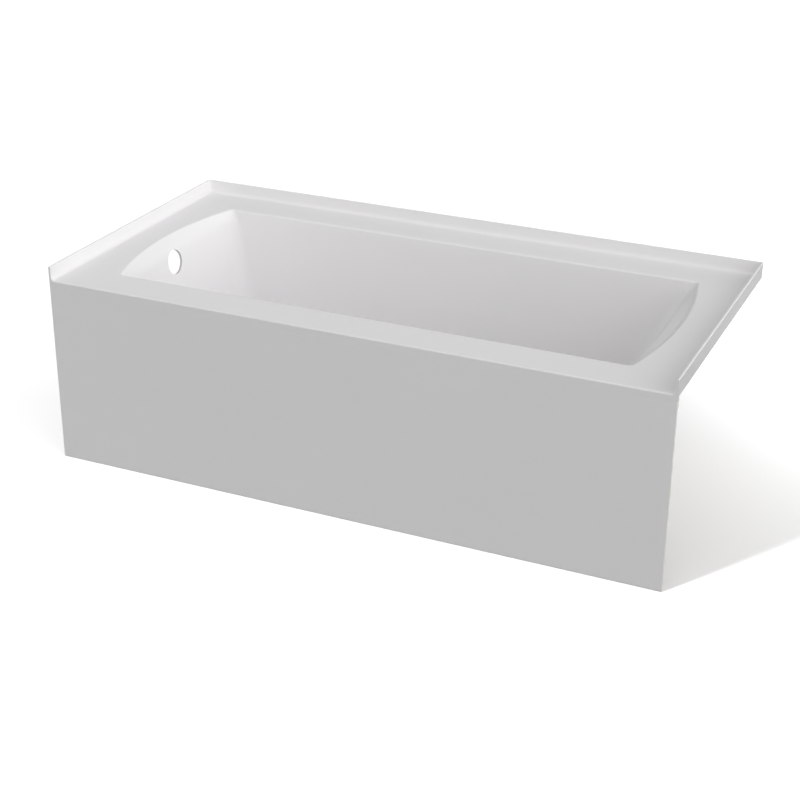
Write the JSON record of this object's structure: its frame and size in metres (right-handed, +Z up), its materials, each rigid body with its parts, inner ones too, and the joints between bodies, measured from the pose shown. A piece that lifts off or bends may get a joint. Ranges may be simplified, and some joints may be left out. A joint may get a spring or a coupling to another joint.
{
  "type": "alcove bathtub",
  "caption": "Alcove bathtub with a flat apron front, tile flanges on three sides, a bow-ended basin, and levelling feet under a steel cradle.",
  "frame": {"origin": "on the floor, in the middle of the tub's footprint", "axes": "+X along the tub from the drain end to the backrest end, +Y from the apron to the back wall, +Z up"},
  "size_m": [1.524, 0.75, 0.5],
  "materials": {
    "shell_acrylic": "white gloss acrylic sheet, backed with glass fibre",
    "apron_acrylic": "white gloss acrylic sheet",
    "batten_timber": "sawn softwood sealed with resin",
    "board_timber": "particle board sealed with resin",
    "rail_steel": "galvanised square tube",
    "zinc_steel": "bright zinc plated steel",
    "dark_plastic": "black moulded plastic"
  },
  "bodies": {
    "tub": {"tub_shell": "shell_acrylic", "apron_panel": "apron_acrylic", "apron_sill": "batten_timber", "apron_top_batten": "batten_timber", "apron_upright_1": "batten_timber", "apron_upright_2": "batten_timber", "apron_upright_3": "batten_timber", "apron_upright_4": "batten_timber", "rim_batten_front": "batten_timber", "rim_batten_back": "batten_timber", "rim_batten_drain_end": "batten_timber", "rim_batten_backrest_end": "batten_timber", "base_board": "board_timber", "cradle_rail_1": "rail_steel", "cradle_rail_2": "rail_steel", "cradle_rail_3": "rail_steel", "front_rail": "rail_steel", "rail_end_caps": "dark_plastic", "foot_lock_nuts": "zinc_steel", "weld_nuts": "zinc_steel", "base_board_screws": "zinc_steel", "sill_screws": "zinc_steel"},
    "foot_1": {"foot_pad_1": "dark_plastic", "foot_stud_1": "zinc_steel"},
    "foot_2": {"foot_pad_2": "dark_plastic", "foot_stud_2": "zinc_steel"},
    "foot_3": {"foot_pad_3": "dark_plastic", "foot_stud_3": "zinc_steel"},
    "foot_4": {"foot_pad_4": "dark_plastic", "foot_stud_4": "zinc_steel"},
    "foot_5": {"foot_pad_5": "dark_plastic", "foot_stud_5": "zinc_steel"},
    "foot_6": {"foot_pad_6": "dark_plastic", "foot_stud_6": "zinc_steel"}
  },
  "joints": [
    {"name": "foot_1_height", "type": "slide", "parent": "tub", "child": "foot_1", "axis": [0, 0, -1], "range_m": [-0.008, 0.015]},
    {"name": "foot_2_height", "type": "slide", "parent": "tub", "child": "foot_2", "axis": [0, 0, -1], "range_m": [-0.008, 0.015]},
    {"name": "foot_3_height", "type": "slide", "parent": "tub", "child": "foot_3", "axis": [0, 0, -1], "range_m": [-0.008, 0.015]},
    {"name": "foot_4_height", "type": "slide", "parent": "tub", "child": "foot_4", "axis": [0, 0, -1], "range_m": [-0.008, 0.015]},
    {"name": "foot_5_height", "type": "slide", "parent": "tub", "child": "foot_5", "axis": [0, 0, -1], "range_m": [-0.008, 0.015]},
    {"name": "foot_6_height", "type": "slide", "parent": "tub", "child": "foot_6", "axis": [0, 0, -1], "range_m": [-0.008, 0.015]}
  ]
}
